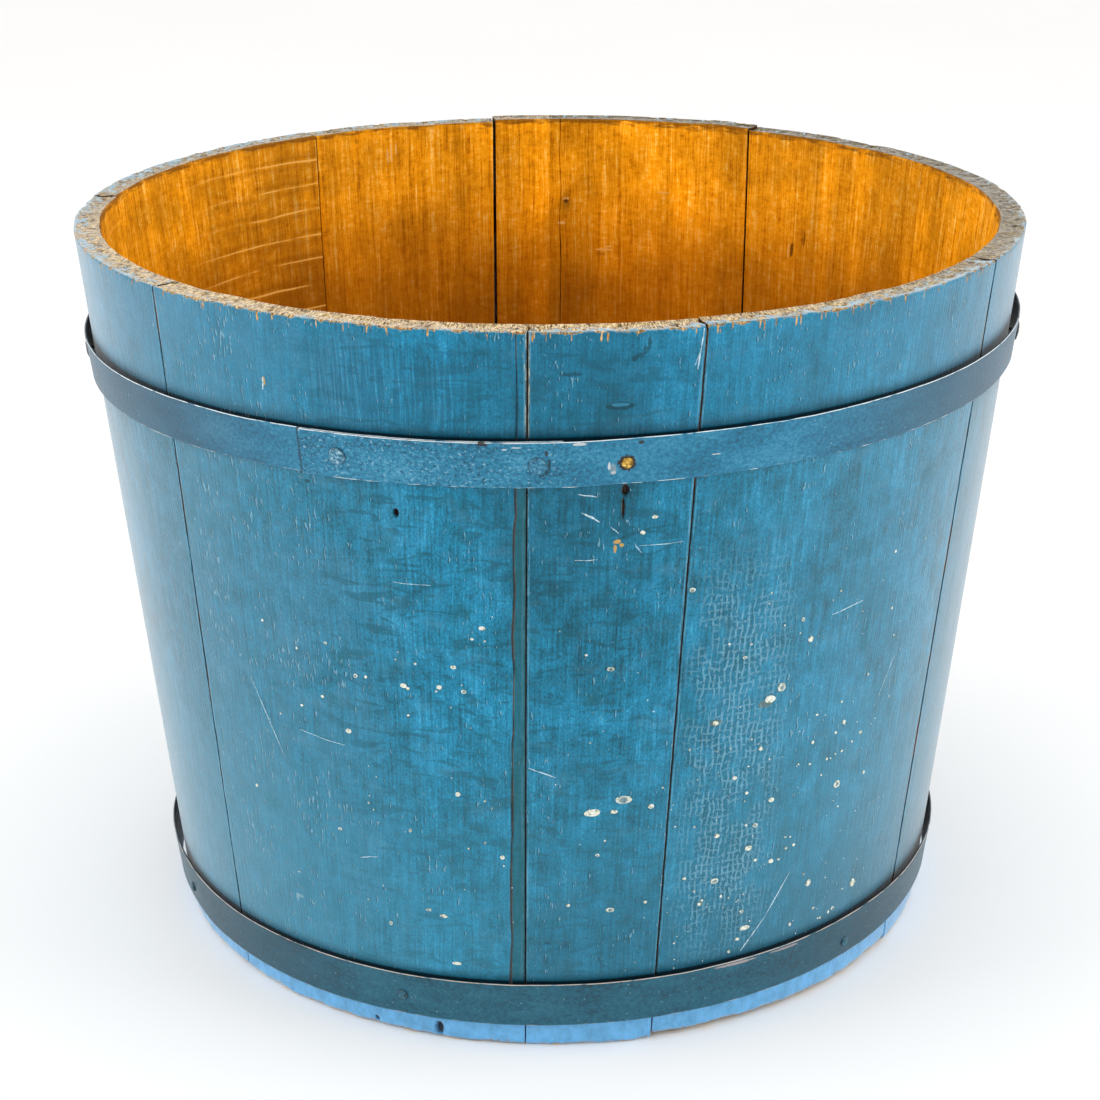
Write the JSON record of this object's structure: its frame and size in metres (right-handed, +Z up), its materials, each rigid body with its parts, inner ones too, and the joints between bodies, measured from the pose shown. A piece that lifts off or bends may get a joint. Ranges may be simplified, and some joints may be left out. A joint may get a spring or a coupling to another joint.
{
  "type": "staved wooden tub",
  "caption": "Round open-topped wooden tub of painted tapered staves, held by two riveted sheet-iron hoops, with a bare pine inside and a boarded bottom.",
  "frame": {"origin": "on the floor at the centre of the tub", "axes": "+Z up through the open mouth, -Y towards the front, +X to the right seen from the front"},
  "size_m": [0.3935, 0.3938, 0.305],
  "materials": {
    "painted_stave": "worn semi-gloss blue oil paint brushed along the grain on the outside, bare golden pine on the inside, tan end grain at the rim",
    "bare_pine": "bare aged pine, straight grain, darkened by use",
    "dowel_wood": "plain turned hardwood",
    "painted_hoop": "sheet iron under worn blue paint, pitted, with bare bright edges",
    "painted_fastener": "iron rivets and nails under worn blue paint",
    "brass_tack": "tarnished brass, worn bright in the middle"
  },
  "bodies": {
    "root": {"stave_01": "painted_stave", "stave_02": "painted_stave", "stave_03": "painted_stave", "stave_04": "painted_stave", "stave_05": "painted_stave", "stave_06": "painted_stave", "stave_07": "painted_stave", "stave_08": "painted_stave", "stave_09": "painted_stave", "stave_10": "painted_stave", "head_board_left": "bare_pine", "head_board_middle": "bare_pine", "head_board_right": "bare_pine", "head_dowel_left_front": "dowel_wood", "head_dowel_left_rear": "dowel_wood", "head_dowel_right_front": "dowel_wood", "head_dowel_right_rear": "dowel_wood", "top_hoop": "painted_hoop", "bottom_hoop": "painted_hoop", "top_hoop_rivet_outer": "painted_fastener", "top_hoop_rivet_inner": "painted_fastener", "bottom_hoop_rivet_outer": "painted_fastener", "bottom_hoop_rivet_inner": "painted_fastener", "top_hoop_broad_nail_left": "painted_fastener", "top_hoop_broad_nail_right": "painted_fastener", "top_hoop_nail_rear": "painted_fastener", "bottom_hoop_nail_1": "painted_fastener", "bottom_hoop_nail_2": "painted_fastener", "bottom_hoop_nail_3": "painted_fastener", "bottom_hoop_nail_4": "painted_fastener", "bottom_hoop_nail_5": "painted_fastener", "top_hoop_tack": "brass_tack"}
  },
  "joints": []
}
